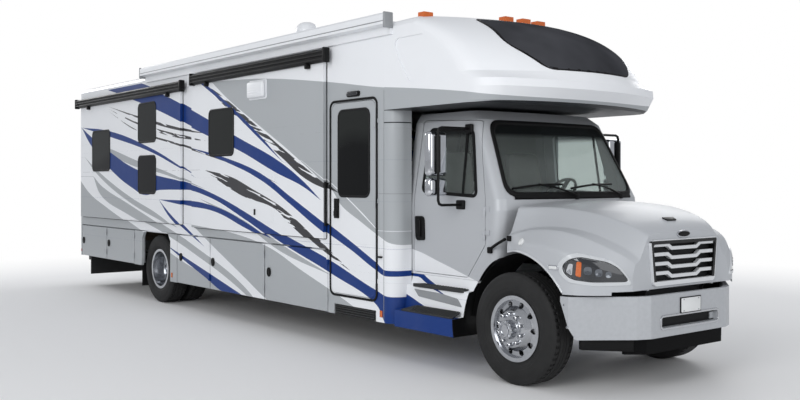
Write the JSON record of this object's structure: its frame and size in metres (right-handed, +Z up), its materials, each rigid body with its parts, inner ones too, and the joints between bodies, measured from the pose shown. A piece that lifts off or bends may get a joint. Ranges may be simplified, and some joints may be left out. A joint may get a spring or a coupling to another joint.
{
  "type": "class c motorhome",
  "caption": "Long motorhome on a conventional-cab truck chassis with over-cab cap, slide-out rooms, tilting hood, hinged doors, steered front wheels and twin rear wheels.",
  "frame": {"origin": "middle of the bounding box, on the ground under the tyres", "axes": "+X forward, +Y to the vehicle's left, +Z up"},
  "size_m": [11.6, 2.88, 3.8199],
  "materials": {
    "white_body": "gloss gelcoat",
    "silver_paint": "metallic gloss",
    "lower_paint": "metallic gloss",
    "dark_glass": "tinted",
    "clear_glass": "clear",
    "black_metal": "satin",
    "cast_iron": "rough",
    "tyre": "matt",
    "alloy": "polished",
    "chrome": "polished",
    "lamp_lens": "clear",
    "amber_lens": "gloss",
    "black_plastic": "matt",
    "floor_board": "satin",
    "seat_fabric": "woven",
    "dash_plastic": "matt"
  },
  "bodies": {
    "chassis": {"chassis_frame": "black_metal", "engine_block": "cast_iron", "front_axle": "black_metal", "rear_axle": "black_metal", "leaf_springs": "black_metal", "house_floor": "floor_board", "house_roof": "white_body", "right_wall": "white_body", "left_wall": "white_body", "rear_wall": "white_body", "skirt_panels": "lower_paint", "corner_panels": "white_body", "over_cab_cap": "white_body", "cab_shell": "silver_paint", "fixed_glass": "dark_glass", "front_bumper": "silver_paint", "cab_steps": "white_body", "dashboard": "dash_plastic", "cab_seats": "seat_fabric", "roof_units": "white_body", "awning_case": "white_body", "hitch_receiver": "black_metal", "rear_bumper": "black_metal", "marker_lamps": "amber_lens", "entry_fittings": "black_metal"},
    "hood": {"hood": "silver_paint", "grille": "chrome", "headlamps": "lamp_lens"},
    "cab_door_right": {"cab_door_right": "silver_paint", "cab_door_glass_right": "clear_glass", "mirror_right": "black_plastic"},
    "cab_door_left": {"cab_door_left": "silver_paint", "cab_door_glass_left": "clear_glass", "mirror_left": "black_plastic"},
    "entry_door": {"entry_door": "white_body", "entry_door_glass": "dark_glass"},
    "rear_slide": {"rear_slide_room": "white_body", "rear_slide_glass": "dark_glass", "rear_slide_topper": "black_metal"},
    "front_slide": {"front_slide_room": "white_body", "front_slide_glass": "dark_glass", "front_slide_topper": "black_metal"},
    "knuckle_right": {"knuckle_right": "cast_iron"},
    "knuckle_left": {"knuckle_left": "cast_iron"},
    "front_wheel_right": {"front_tyre_right": "tyre", "front_wheel_right": "alloy"},
    "front_wheel_left": {"front_tyre_left": "tyre", "front_wheel_left": "alloy"},
    "rear_wheels_right": {"rear_tyres_right": "tyre", "rear_wheels_right": "alloy"},
    "rear_wheels_left": {"rear_tyres_left": "tyre", "rear_wheels_left": "alloy"},
    "storage_door_right_1": {"storage_door_right_1": "lower_paint"},
    "storage_door_right_2": {"storage_door_right_2": "lower_paint"},
    "storage_door_right_3": {"storage_door_right_3": "lower_paint"},
    "storage_door_right_4": {"storage_door_right_4": "lower_paint"},
    "storage_door_right_5": {"storage_door_right_5": "lower_paint"},
    "storage_door_left_1": {"storage_door_left_1": "lower_paint"},
    "storage_door_left_2": {"storage_door_left_2": "lower_paint"}
  },
  "joints": [
    {"name": "hood_tilt", "type": "hinge", "parent": "chassis", "child": "hood", "pos_m": [5.675, 0, 0.915], "axis": [0, 1, 0], "range_deg": [0, 60]},
    {"name": "cab_door_right_swing", "type": "hinge", "parent": "chassis", "child": "cab_door_right", "pos_m": [4.261, -1.0503, 1.4], "axis": [0, 0, 1], "range_deg": [0, 70]},
    {"name": "cab_door_left_swing", "type": "hinge", "parent": "chassis", "child": "cab_door_left", "pos_m": [4.261, 1.0503, 1.4], "axis": [0, 0, -1], "range_deg": [0, 70]},
    {"name": "entry_door_swing", "type": "hinge", "parent": "chassis", "child": "entry_door", "pos_m": [2.863, -1.2953, 1.6], "axis": [0, 0, 1], "range_deg": [0, 110]},
    {"name": "rear_slide_out", "type": "slide", "parent": "chassis", "child": "rear_slide", "axis": [0, -1, 0], "range_m": [0, 0.6]},
    {"name": "front_slide_out", "type": "slide", "parent": "chassis", "child": "front_slide", "axis": [0, -1, 0], "range_m": [0, 0.6]},
    {"name": "storage_door_right_1_swing", "type": "hinge", "parent": "chassis", "child": "storage_door_right_1", "pos_m": [-4.599, -1.2953, 0.79], "axis": [0, 0, 1], "range_deg": [0, 90]},
    {"name": "storage_door_right_2_swing", "type": "hinge", "parent": "chassis", "child": "storage_door_right_2", "pos_m": [-3.448, -1.2953, 0.79], "axis": [0, 0, 1], "range_deg": [0, 90]},
    {"name": "storage_door_right_3_swing", "type": "hinge", "parent": "chassis", "child": "storage_door_right_3", "pos_m": [-0.883, -1.2953, 0.71], "axis": [0, 0, 1], "range_deg": [0, 90]},
    {"name": "storage_door_right_4_swing", "type": "hinge", "parent": "chassis", "child": "storage_door_right_4", "pos_m": [0.574, -1.2953, 0.71], "axis": [0, 0, 1], "range_deg": [0, 90]},
    {"name": "storage_door_right_5_swing", "type": "hinge", "parent": "chassis", "child": "storage_door_right_5", "pos_m": [1.974, -1.2953, 0.71], "axis": [0, 0, 1], "range_deg": [0, 90]},
    {"name": "storage_door_left_1_swing", "type": "hinge", "parent": "chassis", "child": "storage_door_left_1", "pos_m": [-4.599, 1.2953, 0.79], "axis": [0, 0, -1], "range_deg": [0, 90]},
    {"name": "storage_door_left_2_swing", "type": "hinge", "parent": "chassis", "child": "storage_door_left_2", "pos_m": [0.574, 1.2953, 0.71], "axis": [0, 0, -1], "range_deg": [0, 90]},
    {"name": "steer_right", "type": "hinge", "parent": "chassis", "child": "knuckle_right", "pos_m": [4.75, -0.88, 0.49], "axis": [0, 0, 1], "range_deg": [-40, 40]},
    {"name": "front_wheel_right_spin", "type": "hinge", "parent": "knuckle_right", "child": "front_wheel_right", "pos_m": [4.75, -1.03, 0.507], "axis": [0, 1, 0], "continuous": true},
    {"name": "rear_wheels_right_spin", "type": "hinge", "parent": "chassis", "child": "rear_wheels_right", "pos_m": [-2.67, -0.925, 0.507], "axis": [0, 1, 0], "continuous": true},
    {"name": "steer_left", "type": "hinge", "parent": "chassis", "child": "knuckle_left", "pos_m": [4.75, 0.88, 0.49], "axis": [0, 0, 1], "range_deg": [-40, 40]},
    {"name": "front_wheel_left_spin", "type": "hinge", "parent": "knuckle_left", "child": "front_wheel_left", "pos_m": [4.75, 1.03, 0.507], "axis": [0, 1, 0], "continuous": true},
    {"name": "rear_wheels_left_spin", "type": "hinge", "parent": "chassis", "child": "rear_wheels_left", "pos_m": [-2.67, 0.925, 0.507], "axis": [0, 1, 0], "continuous": true}
  ],
  "couplings": [
    {"joint": "steer_left", "follows": "steer_right", "ratio": 1}
  ]
}
